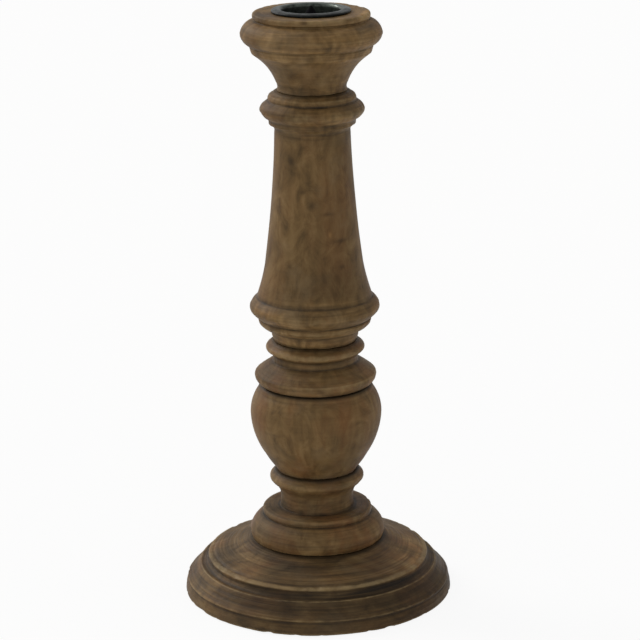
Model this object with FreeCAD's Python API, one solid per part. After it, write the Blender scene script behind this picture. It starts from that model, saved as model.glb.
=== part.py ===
import FreeCAD, Part
import math
import os

# A turned wooden candle stand with a metal cup and a spike.
# Millimetres. Z is up, X and Y are level, and the origin is the centre of the underside.
# Six turned pieces sit on one another, spigot in socket. A steel rod runs through all of
# them and pulls the spike and the cup at the top towards a nut and washers under the foot.

# Tie rod and bores
rod_r = 3.0
rod_bore_clearance = 0.6
rod_end_past_nut = 3.0
rod_chamfer = 0.6
thread_clearance = 0.05

# Joints between the turned pieces
spigot_r = 13.0
spigot_length = 10.0
spigot_chamfer = 0.8
socket_side_clearance = 0.25
socket_end_clearance = 0.5

# Foot: side with a quirk, shoulder and ledge, undercut bead, and a field up to the plinth
foot_r = 90.8
foot_ledge_r = 80.2
foot_ledge_height = 20.1
foot_quirk_r = 77.6
foot_groove_r = 69.8
foot_bead_height = 8.0
foot_field_height = 9.2
foot_seat_margin = 1.2

# Felt disc glued under the foot
felt_r = 83.0
felt_thickness = 2.0
felt_proud = 0.6
felt_side_clearance = 0.4

# Plinth: bulged base, small step, neck and ring
plinth_seat_r = 43.4
plinth_base_r = 46.0
plinth_base_height = 16.8
plinth_step_r = 37.2
plinth_step_height = 5.3
plinth_neck_r = 24.8
plinth_neck_height = 10.5
plinth_ring_r = 31.8
plinth_ring_height = 15.6

# Bulb
bulb_foot_r = 27.2
bulb_r = 44.2
bulb_height = 60.6

# Middle collar: ovolo, sloping top, groove and ring
collar_seat_r = 36.7
collar_ovolo_r = 41.0
collar_ovolo_height = 7.9
collar_slope_height = 7.9
collar_neck_r = 28.6
collar_neck_height = 4.6
collar_ring_r = 33.4
collar_ring_height = 10.0

# Shaft: bowl, torus, flare, taper, fillet, collar and bead
shaft_seat_r = 27.6
shaft_bowl_r = 37.8
shaft_bowl_height = 15.0
shaft_torus_r = 43.5
shaft_torus_height = 14.8
shaft_flare_r = 32.7
shaft_flare_height = 22.6
shaft_taper_height = 91.0
shaft_waist_r = 25.0
shaft_fillet_r = 28.8
shaft_fillet_height = 6.4
shaft_collar_r = 34.7
shaft_collar_height = 12.2
shaft_bead_r = 29.6
shaft_bead_height = 6.8

# Cap: flared neck, fillet, roll and rim
cap_neck_r = 22.7
cap_flare_height = 24.8
cap_fillet_r = 40.8
cap_fillet_height = 4.8
cap_roll_r = 46.6
cap_roll_height = 16.8
cap_groove_r = 37.2
cap_rim_r = 38.6
cap_rim_height = 4.7
cap_dish_depth = 0.2
cap_dish_margin = 3.5

# Cup: pressed sheet with a rolled flange
cup_inner_r = 19.2
cup_sheet = 0.8
cup_depth = 14.0
cup_corner_r = 2.4
cup_throat_r = 2.2
cup_flange_width = 6.8
cup_flange_drop = 0.5
cup_edge_r = 0.9
cup_lip_length = 0.4
cup_lip_clearance = 0.5
cup_side_clearance = 0.3
cup_hole_clearance = 0.3

# Spike, tapped for the rod, and its washer
spike_flats = 12.0
spike_chamfer = 0.9
spike_rod_depth = 4.2
spike_tap_clearance = 0.4
spike_roof = 0.9
spike_shank_r = 4.0
spike_shank_length = 3.0
spike_point_length = 6.0
spike_tip_r = 0.3
spike_washer_r = 9.0
spike_washer_thickness = 1.2

# Nut and washers in the pocket under the foot
pocket_side_room = 4.5
pocket_end_room = 4.2
washer_hole_clearance = 0.25
foot_washer_r = 12.5
foot_washer_thickness = 1.6
lock_washer_r = 5.9
lock_washer_thickness = 1.6
lock_washer_gap = 1.0
lock_washer_slope_deg = 35.0
nut_flats = 10.0
nut_height = 5.2
nut_chamfer = 0.8

# Outline tables. A row is one point of a moulding: its radius as a share of the way from the
# inner to the outer radius, its height as a share of the moulding's height, and the bow of
# the stretch that follows as a share of that stretch, outward when it is positive.
foot_rim_shares = (
    (0.94, 0.0, 0.12),
    (0.98, 0.035, 0.06),
    (0.80, 0.42, 0.0),
    (0.86, 0.47, 0.06),
    (0.65, 0.575, -0.025),
    (0.0, 1.0, 0.0),
)
foot_bead_shares = (
    (1.0, 0.0, -0.22),
    (0.66, 0.63, 0.18),
    (0.46, 0.77, 0.03),
    (0.14, 0.85, 0.0),
    (0.0, 1.0, -0.015),
)
plinth_base_shares = (
    (0.82, 0.035, 0.05),
    (0.97, 0.37, 0.11),
    (0.03, 0.985, 0.0),
)
plinth_step_shares = (
    (0.93, 0.04, 0.0),
    (0.985, 0.19, 0.28),
    (0.74, 0.98, 0.06),
    (0.66, 1.0, 0.0),
)
plinth_neck_shares = (
    (0.05, 0.0, -0.06),
    (0.045, 1.0, -0.09),
)
plinth_ring_shares = (
    (0.70, 0.425, 0.32),
    (0.64, 0.90, 0.12),
    (0.42, 1.0, 0.0),
)
bulb_shares = (
    (0.0, 0.0, 0.0),
    (0.02, 0.03, 0.03),
    (0.47, 0.21, 0.065),
    (0.99, 0.62, 0.09),
    (0.68, 0.94, 0.08),
    (0.56, 1.0, 0.0),
)
collar_ovolo_shares = (
    (0.0, 0.0, 0.07),
    (0.78, 0.46, 0.10),
    (0.94, 1.0, 0.02),
)
collar_neck_shares = (
    (0.10, 0.0, -0.10),
    (0.0, 0.25, 0.0),
    (0.0, 1.0, 0.0),
)
collar_ring_shares = (
    (0.20, 0.12, 0.48),
    (0.26, 0.84, 0.10),
    (-0.17, 1.0, 0.0),
)
shaft_bowl_shares = (
    (0.0, 0.0, 0.0),
    (0.14, 0.23, -0.05),
    (0.19, 0.54, 0.11),
    (0.95, 0.82, 0.03),
    (1.0, 0.98, 0.0),
)
shaft_torus_shares = (
    (-0.14, 0.05, 0.0),
    (0.20, 0.14, 0.34),
    (0.27, 0.985, 0.0),
    (0.16, 1.0, -0.02),
)
shaft_fillet_shares = (
    (0.0, 0.0, -0.15),
    (0.93, 0.50, 0.0),
    (1.0, 0.94, 0.0),
)
shaft_collar_shares = (
    (0.12, 0.03, 0.42),
    (0.13, 1.0, 0.0),
)
shaft_bead_shares = (
    (0.88, 0.05, 0.22),
    (0.26, 0.74, 0.10),
    (-0.34, 1.0, 0.0),
)
cap_flare_shares = (
    (0.04, 0.0, 0.0),
    (0.0, 0.07, -0.08),
    (0.055, 0.23, -0.075),
    (0.76, 0.92, 0.0),
    (0.91, 1.0, 0.0),
)
cap_fillet_shares = (
    (0.99, 0.88, 0.0),
    (0.96, 0.98, 0.0),
)
cap_roll_shares = (
    (0.05, 0.03, 0.14),
    (0.99, 0.46, 0.17),
    (-0.60, 0.98, 0.0),
)
cap_rim_shares = (
    (0.0, 0.05, 0.0),
    (0.82, 0.24, 0.06),
    (0.78, 0.76, 0.18),
    (-0.30, 1.0, 0.02),
)
shaft_taper_bow_share = -0.013
cup_flange_bow_share = -0.04
spike_point_bow_share = 0.07

# Shapes that no size changes
quarter_bow_share = math.tan(math.radians(22.5)) / 2
hexagon_corner_share = 1 / math.cos(math.radians(30))

# Heights of the turned pieces, and their places along the axis from the underside up
foot_height = foot_ledge_height + foot_bead_height + foot_field_height
plinth_height = plinth_base_height + plinth_step_height + plinth_neck_height + plinth_ring_height
collar_height = collar_ovolo_height + collar_slope_height + collar_neck_height + collar_ring_height
shaft_height = (shaft_bowl_height + shaft_torus_height + shaft_flare_height + shaft_taper_height
                + shaft_fillet_height + shaft_collar_height + shaft_bead_height)
cap_height = cap_flare_height + cap_fillet_height + cap_roll_height + cap_rim_height
foot_z = felt_proud
plinth_z = foot_z + foot_height
bulb_z = plinth_z + plinth_height
collar_z = bulb_z + bulb_height
shaft_z = collar_z + collar_height
cap_z = shaft_z + shaft_height

# Fits that follow from the sizes above
bore_r = rod_r + rod_bore_clearance
tapped_r = rod_r + thread_clearance
washer_hole_r = rod_r + washer_hole_clearance
socket_r = spigot_r + socket_side_clearance
socket_depth = spigot_length + socket_end_clearance
felt_recess_r = felt_r + felt_side_clearance
felt_recess_depth = felt_thickness - felt_proud
rod_z = felt_thickness + pocket_end_room
nut_z = rod_z + rod_end_past_nut
lock_washer_z = nut_z + nut_height
foot_washer_z = lock_washer_z + lock_washer_thickness
pocket_r = foot_washer_r + pocket_side_room
pocket_depth = foot_washer_z + foot_washer_thickness - foot_z
cup_outer_r = cup_inner_r + cup_sheet
cup_recess_r = cup_outer_r + cup_side_clearance
cup_flange_r = cup_inner_r + cup_flange_width
cup_lip_z = cap_z + cap_height - cap_dish_depth + cup_lip_clearance
cup_crest_z = cup_lip_z + cup_lip_length + cup_edge_r + cup_flange_drop
cup_floor_z = cup_crest_z - cup_depth
cup_seat_z = cup_floor_z - cup_sheet
spike_z = cup_floor_z + spike_washer_thickness
spike_tap_depth = spike_rod_depth + spike_tap_clearance
spike_base_height = spike_tap_depth + spike_roof
rod_length = spike_z + spike_rod_depth - rod_z


def moulding(shares, inner_r, outer_r, low, height):
    """Outline points of one moulding, from its table of shares."""
    return [
        (inner_r + r * (outer_r - inner_r), low + z * height, bow)
        for r, z, bow in shares
    ]


def stretch(start, end, bow):
    """Line, or an arc that stands off its chord by bow times its length, to the right."""
    a = FreeCAD.Vector(start[0], 0, start[1])
    b = FreeCAD.Vector(end[0], 0, end[1])
    if bow == 0:
        return Part.LineSegment(a, b).toShape()
    chord = b - a
    aside = FreeCAD.Vector(chord.z, 0, -chord.x) * bow
    return Part.Arc(a, (a + b) * 0.5 + aside, b).toShape()


def turned(points, z):
    """Solid of revolution about Z. A point is (radius, height) or (radius, height, bow)."""
    rows = [point if len(point) == 3 else (*point, 0) for point in points]
    edges = [stretch(p, q, p[2]) for p, q in zip(rows, rows[1:] + rows[:1])]
    face = Part.Face(Part.Wire(edges))
    solid = face.revolve(FreeCAD.Vector(0, 0, 0), FreeCAD.Vector(0, 0, 1), 360)
    solid.translate(FreeCAD.Vector(0, 0, z))
    return solid


def ring(inner_r, outer_r, height, z):
    """Flat ring."""
    return turned([(inner_r, 0), (outer_r, 0), (outer_r, height), (inner_r, height)], z)


def hexagon(flats, height, chamfer, z):
    """Upright hexagonal prism with its top corners turned off."""
    corner_r = flats / 2 * hexagon_corner_share
    angles = [math.radians(60 * side) for side in range(7)]
    corners = [FreeCAD.Vector(corner_r * math.cos(a), corner_r * math.sin(a), z) for a in angles]
    prism = Part.Face(Part.makePolygon(corners)).extrude(FreeCAD.Vector(0, 0, height))
    envelope = [(0, 0), (corner_r, 0), (corner_r, height - chamfer), (flats / 2, height), (0, height)]
    return prism.common(turned(envelope, z))


def spigot():
    """Points of the bored spigot under a turned piece, up to its seat."""
    return [
        (bore_r, -spigot_length),
        (spigot_r - spigot_chamfer, -spigot_length),
        (spigot_r, -spigot_length + spigot_chamfer),
        (spigot_r, 0),
    ]


def socket(height):
    """Points of the socket in the top of a turned piece, down to its bore."""
    return [
        (socket_r, height),
        (socket_r, height - socket_depth),
        (bore_r, height - socket_depth),
    ]


def make_foot():
    """Broad foot, with the nut's pocket and the felt's recess under it."""
    below = [
        (bore_r, pocket_depth),
        (pocket_r, pocket_depth),
        (pocket_r, felt_recess_depth),
        (felt_recess_r, felt_recess_depth),
        (felt_recess_r, 0),
    ]
    rim = moulding(foot_rim_shares, foot_ledge_r, foot_r, 0, foot_ledge_height)
    bead = moulding(foot_bead_shares, foot_groove_r, foot_quirk_r, foot_ledge_height, foot_bead_height)
    seat = [(plinth_seat_r + foot_seat_margin, foot_height)]
    return turned(below + rim + bead + seat + socket(foot_height), foot_z)


def make_plinth():
    """Bulged base, rounded step, neck and ring."""
    step_z = plinth_base_height
    neck_z = step_z + plinth_step_height
    ring_z = neck_z + plinth_neck_height
    outline = (
        [(plinth_seat_r, 0)]
        + moulding(plinth_base_shares, plinth_step_r, plinth_base_r, 0, plinth_base_height)
        + moulding(plinth_step_shares, plinth_neck_r, plinth_step_r, step_z, plinth_step_height)
        + moulding(plinth_neck_shares, plinth_neck_r, plinth_ring_r, neck_z, plinth_neck_height)
        + moulding(plinth_ring_shares, plinth_neck_r, plinth_ring_r, ring_z, plinth_ring_height)
    )
    return turned(spigot() + outline + socket(plinth_height), plinth_z)


def make_bulb():
    """Pear-shaped bulb, widest above its middle."""
    outline = moulding(bulb_shares, bulb_foot_r, bulb_r, 0, bulb_height)
    return turned(spigot() + outline + socket(bulb_height), bulb_z)


def make_middle_collar():
    """Ovolo with a sloping top, a groove and a ring."""
    neck_z = collar_ovolo_height + collar_slope_height
    ring_z = neck_z + collar_neck_height
    outline = (
        moulding(collar_ovolo_shares, collar_seat_r, collar_ovolo_r, 0, collar_ovolo_height)
        + moulding(collar_neck_shares, collar_neck_r, collar_ring_r, neck_z, collar_neck_height)
        + moulding(collar_ring_shares, collar_neck_r, collar_ring_r, ring_z, collar_ring_height)
    )
    return turned(spigot() + outline + socket(collar_height), collar_z)


def make_shaft():
    """Long tapered shaft with a torus on a bowl below and a collar and bead above."""
    torus_z = shaft_bowl_height
    flare_z = torus_z + shaft_torus_height
    taper_z = flare_z + shaft_flare_height
    fillet_z = taper_z + shaft_taper_height
    round_z = fillet_z + shaft_fillet_height
    bead_z = round_z + shaft_collar_height
    outline = (
        moulding(shaft_bowl_shares, shaft_seat_r, shaft_bowl_r, 0, shaft_bowl_height)
        + moulding(shaft_torus_shares, shaft_bowl_r, shaft_torus_r, torus_z, shaft_torus_height)
        + [(shaft_flare_r, taper_z, shaft_taper_bow_share)]
        + moulding(shaft_fillet_shares, shaft_waist_r, shaft_fillet_r, fillet_z, shaft_fillet_height)
        + moulding(shaft_collar_shares, shaft_fillet_r, shaft_collar_r, round_z, shaft_collar_height)
        + moulding(shaft_bead_shares, shaft_waist_r, shaft_bead_r, bead_z, shaft_bead_height)
    )
    return turned(spigot() + outline + socket(shaft_height), shaft_z)


def make_cap():
    """Flared neck, fillet, roll and rim, with a dished top and the cup's recess."""
    fillet_z = cap_flare_height
    roll_z = fillet_z + cap_fillet_height
    rim_z = roll_z + cap_roll_height
    dish_z = cap_height - cap_dish_depth
    seat_z = cup_seat_z - cap_z
    outline = (
        moulding(cap_flare_shares, cap_neck_r, cap_fillet_r, 0, cap_flare_height)
        + moulding(cap_fillet_shares, cap_neck_r, cap_fillet_r, fillet_z, cap_fillet_height)
        + moulding(cap_roll_shares, cap_fillet_r, cap_roll_r, roll_z, cap_roll_height)
        + moulding(cap_rim_shares, cap_groove_r, cap_rim_r, rim_z, cap_rim_height)
    )
    recess = [
        (cup_flange_r + cap_dish_margin, dish_z),
        (cup_recess_r, dish_z),
        (cup_recess_r, seat_z),
        (bore_r, seat_z),
    ]
    return turned(spigot() + outline + recess, cap_z)


def make_drip_cup():
    """Pressed cup: bored floor, straight wall, and a flange rolled out and down."""
    hole_r = rod_r + cup_hole_clearance
    corner_r = cup_inner_r - cup_corner_r
    throat_r = cup_inner_r + cup_throat_r
    edge_r = cup_flange_r - cup_edge_r
    corner_z = cup_floor_z + cup_corner_r
    throat_z = cup_crest_z - cup_throat_r
    edge_z = cup_crest_z - cup_flange_drop
    bend = quarter_bow_share
    inside = [
        (hole_r, cup_floor_z),
        (corner_r, cup_floor_z, bend),
        (cup_inner_r, corner_z),
        (cup_inner_r, throat_z, -bend),
        (throat_r, cup_crest_z, cup_flange_bow_share),
        (edge_r, edge_z, -bend),
        (cup_flange_r, edge_z - cup_edge_r),
        (cup_flange_r, cup_lip_z),
    ]
    outside = [
        (cup_flange_r - cup_sheet, cup_lip_z),
        (cup_flange_r - cup_sheet, edge_z - cup_edge_r, bend),
        (edge_r, edge_z - cup_sheet, -cup_flange_bow_share),
        (throat_r, cup_crest_z - cup_sheet, bend),
        (cup_outer_r, throat_z),
        (cup_outer_r, corner_z, -bend),
        (corner_r, cup_seat_z),
        (hole_r, cup_seat_z),
    ]
    return turned(inside + outside, 0)


def make_spike_washer():
    """Washer that spreads the spike's base over the cup's thin floor."""
    return ring(washer_hole_r, spike_washer_r, spike_washer_thickness, cup_floor_z)


def make_spike():
    """Hexagonal base tapped for the rod, with a round shank and a point."""
    shank_top = spike_base_height + spike_shank_length
    tip = shank_top + spike_point_length
    shank = [
        (0, spike_base_height),
        (spike_shank_r, spike_base_height),
        (spike_shank_r, shank_top, spike_point_bow_share),
        (spike_tip_r, tip - spike_tip_r, quarter_bow_share),
        (0, tip),
    ]
    base = hexagon(spike_flats, spike_base_height, spike_chamfer, spike_z)
    tapped_hole = Part.makeCylinder(tapped_r, spike_tap_depth, FreeCAD.Vector(0, 0, spike_z))
    return base.fuse(turned(shank, spike_z)).cut(tapped_hole)


def make_tie_rod():
    """Threaded rod, drawn at its outer diameter."""
    return turned([
        (0, 0),
        (rod_r - rod_chamfer, 0),
        (rod_r, rod_chamfer),
        (rod_r, rod_length - rod_chamfer),
        (rod_r - rod_chamfer, rod_length),
        (0, rod_length),
    ], rod_z)


def make_foot_washer():
    """Large washer on the pocket's end."""
    return ring(washer_hole_r, foot_washer_r, foot_washer_thickness, foot_washer_z)


def make_lock_washer():
    """Spring washer, pressed flat, with its slanting split."""
    slit_height = lock_washer_thickness + 2 * lock_washer_r
    slit = Part.makeBox(2 * lock_washer_r, lock_washer_gap, slit_height)
    slit.translate(FreeCAD.Vector(0, -lock_washer_gap / 2, -slit_height / 2))
    slit.rotate(FreeCAD.Vector(0, 0, 0), FreeCAD.Vector(1, 0, 0), lock_washer_slope_deg)
    slit.translate(FreeCAD.Vector(0, 0, lock_washer_z + lock_washer_thickness / 2))
    whole = ring(washer_hole_r, lock_washer_r, lock_washer_thickness, lock_washer_z)
    return whole.cut(slit)


def make_foot_nut():
    """Hexagon nut on the rod's lower end."""
    body = hexagon(nut_flats, nut_height, nut_chamfer, nut_z)
    return body.cut(Part.makeCylinder(tapped_r, nut_height, FreeCAD.Vector(0, 0, nut_z)))


def make_felt_disc():
    """Felt disc that the stand rests on."""
    return Part.makeCylinder(felt_r, felt_thickness)


makers = {
    "foot": make_foot,
    "plinth": make_plinth,
    "bulb": make_bulb,
    "middle_collar": make_middle_collar,
    "shaft": make_shaft,
    "cap": make_cap,
    "drip_cup": make_drip_cup,
    "spike": make_spike,
    "spike_washer": make_spike_washer,
    "tie_rod": make_tie_rod,
    "foot_washer": make_foot_washer,
    "lock_washer": make_lock_washer,
    "foot_nut": make_foot_nut,
    "felt_disc": make_felt_disc,
}

os.makedirs("parts", exist_ok=True)
for node, make in makers.items():
    shape = make()
    shape.exportStep(f"parts/{node}.step")
    print(node, "valid" if shape.isValid() else "INVALID", "solids", len(shape.Solids),
          "volume", round(shape.Volume, 1))
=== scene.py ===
import math

import bpy
import numpy as np
from bpy.props import FloatProperty, FloatVectorProperty, IntProperty, PointerProperty
from mathutils import Matrix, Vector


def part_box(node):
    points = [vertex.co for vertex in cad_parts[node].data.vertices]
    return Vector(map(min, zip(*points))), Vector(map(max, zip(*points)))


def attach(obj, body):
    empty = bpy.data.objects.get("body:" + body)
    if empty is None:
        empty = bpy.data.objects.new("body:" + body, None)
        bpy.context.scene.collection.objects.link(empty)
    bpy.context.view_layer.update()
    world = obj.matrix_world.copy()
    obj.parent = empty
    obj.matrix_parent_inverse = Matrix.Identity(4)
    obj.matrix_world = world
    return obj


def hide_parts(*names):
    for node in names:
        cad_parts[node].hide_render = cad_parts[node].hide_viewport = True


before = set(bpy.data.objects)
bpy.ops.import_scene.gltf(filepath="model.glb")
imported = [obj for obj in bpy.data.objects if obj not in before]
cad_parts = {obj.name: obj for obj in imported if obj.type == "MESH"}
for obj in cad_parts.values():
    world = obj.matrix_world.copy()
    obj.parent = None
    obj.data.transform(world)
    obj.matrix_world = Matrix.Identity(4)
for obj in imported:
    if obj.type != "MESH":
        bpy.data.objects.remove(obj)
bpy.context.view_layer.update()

bl_info = {
    "name": "Turned candle stand",
    "version": (1, 0, 0),
    "blender": (4, 5, 0),
    "location": "3D View > Sidebar > Candle stand",
    "description": "Dresses the CAD candle stand: turned wood, metal cup and spike, felt and stage",
    "category": "Object",
}

# Metres in one millimetre.
MM = 0.001

# Outlines of the turned pieces in mm, from the seat up: radius, height over the seat, and the
# bow of the stretch that follows as a share of its length. They are the CAD outlines.
FOOT = (
    (90.2, 0.0, 0.12), (90.6, 0.7, 0.06), (88.7, 8.4, 0.0), (89.3, 9.4, 0.06),
    (87.1, 11.6, -0.025), (80.2, 20.1, 0.0), (77.6, 20.1, -0.22), (74.9, 25.1, 0.18),
    (73.4, 26.3, 0.03), (70.9, 26.9, 0.0), (69.8, 28.1, -0.015), (44.6, 37.3, 0.0),
)
PLINTH = (
    (43.4, 0.0, 0.0), (44.4, 0.6, 0.05), (45.7, 6.2, 0.11), (37.5, 16.5, 0.0),
    (36.3, 17.0, 0.0), (37.0, 17.8, 0.28), (34.0, 22.0, 0.06), (33.0, 22.1, 0.0),
    (25.2, 22.1, -0.06), (25.1, 32.6, -0.09), (29.7, 39.2, 0.32), (29.3, 46.6, 0.12),
    (27.7, 48.2, 0.0),
)
BULB = (
    (27.2, 0.0, 0.0), (27.5, 1.8, 0.03), (35.2, 12.7, 0.065), (44.0, 37.6, 0.09),
    (38.8, 57.0, 0.08), (36.7, 60.6, 0.0),
)
MIDDLE_COLLAR = (
    (36.7, 0.0, 0.07), (40.1, 3.6, 0.10), (40.7, 7.9, 0.02), (29.1, 15.8, -0.10),
    (28.6, 16.9, 0.0), (28.6, 20.4, 0.0), (29.6, 21.6, 0.48), (29.8, 28.8, 0.10),
    (27.8, 30.4, 0.0),
)
SHAFT = (
    (27.6, 0.0, 0.0), (29.0, 3.5, -0.05), (29.5, 8.1, 0.11), (37.3, 12.3, 0.03),
    (37.8, 14.7, 0.0), (37.0, 15.7, 0.0), (38.9, 17.1, 0.34), (39.3, 29.6, 0.0),
    (38.7, 29.8, -0.02), (32.7, 52.4, -0.013), (25.0, 143.4, -0.15), (28.5, 146.6, 0.0),
    (28.8, 149.4, 0.0), (29.5, 150.2, 0.42), (29.6, 162.0, 0.0), (29.0, 162.3, 0.22),
    (26.2, 167.0, 0.10), (23.4, 168.8, 0.0),
)
CAP = (
    (23.4, 0.0, 0.0), (22.7, 1.7, -0.08), (23.7, 5.7, -0.075), (36.5, 22.8, 0.0),
    (39.2, 24.8, 0.0), (40.6, 29.0, 0.0), (40.1, 29.5, 0.0), (41.1, 30.1, 0.14),
    (46.5, 37.3, 0.17), (37.3, 46.1, 0.0), (37.2, 46.6, 0.0), (38.3, 47.5, 0.06),
    (38.3, 50.0, 0.18), (36.8, 51.1, 0.02), (29.5, 50.9, 0.0), (20.3, 50.9, 0.0),
)

# One row per turned piece, from the floor up: node, outline, where the middle of the tree lies
# from the piece's axis in mm, how light its wood is, how much red it has, how dark the line over
# it is, a dark joint with painted shade, and how far that line is moved from the piece above onto
# this one, in mm.
TURNED = (
    ("foot", FOOT, (30.0, 0.0, 95.0), 0.96, 0.40, 0.66, 1.6),
    ("plinth", PLINTH, (38.0, -46.0, 0.0), 0.94, 0.55, 0.82, 0.8),
    ("bulb", BULB, (-14.0, -58.0, 0.0), 1.0, 0.55, 0.85, 0.0),
    ("middle_collar", MIDDLE_COLLAR, (52.0, 30.0, 0.0), 1.0, 0.60, 0.66, 0.8),
    ("shaft", SHAFT, (16.0, -40.0, 37.0), 0.96, 0.30, 0.56, 0.8),
    ("cap", CAP, (-44.0, -30.0, 0.0), 1.10, 0.20, 0.0, 0.0),
)

# Places on the outlines, in mm, that are rubbed bare (above 0) or full of dark wax and painted
# shade (below 0), by node: radius, height over the seat, half width and amount.
MARKS = {
    "foot": (
        (72.3, 26.7, 1.7, 0.8), (75.2, 23.4, 1.6, -0.8), (70.2, 27.4, 0.8, -0.5),
    ),
    "plinth": (
        (28.5, 22.1, 4.2, -0.5), (34.6, 21.6, 2.2, -0.4), (36.9, 18.2, 2.2, -0.45),
    ),
    "middle_collar": (
        (28.6, 18.0, 3.0, 0.5),
    ),
    "shaft": (
        (28.8, 149.6, 1.2, 0.3), (25.4, 143.6, 1.6, 0.25), (28.5, 146.8, 1.0, -0.3),
    ),
    "cap": (
        (37.3, 46.4, 2.0, 0.6), (30.5, 50.9, 3.0, 0.15), (40.3, 29.3, 1.5, 0.6),
    ),
}
# Lighter and darker marks on the side that faces the viewer, partly stains and partly painted
# shade and painted highlights, in mm, by node: place to the right of the axis, height over the
# seat, half width, half height and how much lighter.
STAIN_AND_PAINTED_LIGHT_PATCHES = {
    "foot": (
        (-41.0, 33.0, 9.0, 2.0, 0.4), (-46.0, 30.5, 6.0, 1.2, 0.34), (-4.0, 33.5, 26.0, 2.2, -0.24),
        (-30.0, 29.0, 10.0, 0.8, -0.15), (-36.0, 15.0, 30.0, 4.5, -0.2),
        (-36.0, 21.5, 24.0, 2.4, 0.34), (10.0, 15.0, 44.0, 5.0, -0.12),
        (70.0, 30.0, 16.0, 3.5, 0.5), (47.0, 35.0, 10.0, 3.5, 0.2), (-72.0, 29.0, 10.0, 3.0, -0.22),
        (-17.0, 34.5, 12.0, 2.4, -0.36), (-36.0, 29.5, 12.0, 1.6, -0.16),
        (57.0, 31.5, 10.0, 4.0, 0.3), (68.0, 26.0, 6.0, 3.0, 0.62), (80.0, 11.0, 8.0, 5.0, -0.22),
        (-21.0, 33.2, 14.0, 1.8, -0.32), (-1.0, 28.0, 12.0, 2.0, -0.16),
        (-12.0, 17.2, 12.0, 1.8, -0.26), (-20.0, 24.0, 12.0, 2.0, 0.45),
        (77.0, 22.5, 7.0, 3.5, 0.45),
    ),
    "plinth": (
        (-33.0, 17.0, 14.0, 8.0, -0.2), (10.0, 42.0, 16.0, 8.0, -0.08),
        (-17.0, 10.0, 12.0, 8.0, -0.18), (-3.0, 8.0, 16.0, 4.0, -0.22),
        (19.0, 13.0, 6.0, 3.0, -0.2), (-35.0, 11.0, 12.0, 6.0, -0.18),
        (32.0, 10.0, 8.0, 5.0, -0.14), (15.0, 23.5, 10.0, 2.5, 0.2), (-12.0, 38.8, 8.0, 2.0, 0.18),
        (-4.0, 43.8, 24.0, 2.2, -0.22),
    ),
    "bulb": (
        (20.0, 12.5, 13.0, 8.0, -0.27), (29.0, 26.0, 8.0, 9.0, -0.12),
        (-29.0, 34.0, 5.0, 0.9, -0.22), (-16.0, 24.0, 1.2, 5.0, -0.16), (3.0, 34.0, 4.0, 5.0, 0.1),
        (16.0, 26.0, 9.0, 6.5, -0.12),
    ),
    "middle_collar": (
        (12.0, 25.0, 16.0, 5.0, -0.1), (-33.0, 10.0, 12.0, 9.0, -0.38),
        (-16.0, 26.0, 8.0, 4.0, -0.12), (-15.0, 9.0, 9.0, 6.0, -0.12),
    ),
    "shaft": (
        (-14.2, 126.2, 2.8, 2.6, -0.4), (-6.7, 106.2, 2.4, 1.7, -0.36),
        (-1.0, 97.6, 2.6, 2.8, -0.46), (9.3, 91.5, 4.5, 1.2, -0.34), (10.6, 78.0, 1.0, 1.8, 0.6),
        (17.3, 73.2, 6.0, 1.4, -0.42), (6.5, 48.8, 9.0, 5.5, -0.3), (18.3, 56.1, 2.0, 1.6, -0.42),
        (-15.0, 6.0, 34.0, 5.0, 0.24), (-15.7, 57.0, 1.8, 1.6, -0.36),
        (16.0, 138.5, 12.0, 6.0, -0.27), (-18.0, 88.0, 5.0, 12.0, 0.15),
        (-9.0, 101.0, 5.0, 20.0, 0.16), (5.0, 40.0, 22.0, 5.0, -0.2),
        (25.0, 23.4, 16.0, 3.5, -0.16), (0.0, 161.0, 8.0, 2.0, 0.14), (24.0, 46.0, 9.0, 9.0, -0.15),
        (12.0, 58.0, 20.0, 20.0, -0.1), (0.0, 156.0, 34.0, 5.0, -0.08),
        (-26.0, 158.0, 9.0, 9.0, -0.26), (-4.0, 145.2, 22.0, 1.1, 0.2),
        (0.0, 148.0, 30.0, 1.0, -0.12), (0.0, 27.5, 60.0, 2.4, -0.12),
        (-26.0, 30.5, 14.0, 2.2, -0.12), (-4.0, 33.2, 28.0, 1.1, 0.2),
    ),
    "cap": (
        (-15.0, 14.0, 6.0, 1.6, -0.24), (-21.0, 18.0, 6.0, 1.5, -0.2),
        (-10.0, 5.5, 5.0, 1.8, -0.25), (-4.5, 50.0, 2.0, 1.3, -0.45),
        (-26.0, 34.5, 12.0, 2.0, -0.15), (7.0, 33.0, 12.0, 2.2, -0.12),
        (-6.0, 32.2, 34.0, 1.1, 0.22), (6.0, 27.6, 22.0, 1.3, -0.24), (4.0, 38.0, 20.0, 2.5, -0.06),
        (-24.0, 9.0, 9.0, 9.0, -0.24), (-40.0, 38.0, 9.0, 9.0, -0.18),
        (-33.0, 37.0, 5.0, 4.0, -0.12), (42.0, 36.0, 7.0, 5.0, -0.12),
        (-2.0, 12.5, 30.0, 2.6, -0.1), (-24.0, 50.0, 26.0, 2.6, -0.26),
        (-31.0, 50.5, 5.0, 2.0, -0.3), (24.5, 49.8, 4.0, 1.5, -0.26), (36.0, 50.0, 4.0, 3.0, 0.42),
    ),
}

# Hidden points of the turned pieces in mm, as in the CAD: the bored spigot below a seat, and
# what is under the foot, with the nut's pocket and the felt's recess.
BORE_R, SOCKET_R, SPIGOT, SOCKET = 3.6, 13.25, 10.0, 10.5
SPIGOT_POINTS = ((BORE_R, -SPIGOT), (12.2, -SPIGOT), (13.0, 0.8 - SPIGOT), (13.0, 0.0))
FOOT_BELOW = ((BORE_R, 17.0), (17.0, 17.0), (17.0, 1.4), (83.4, 1.4), (83.4, 0.0))
CUP_FLANGE_R = 26.0
# The foot's radius as the CAD names it, in mm. Its rounded edge stays 0.2 mm inside.
FOOT_R = 90.8
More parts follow.
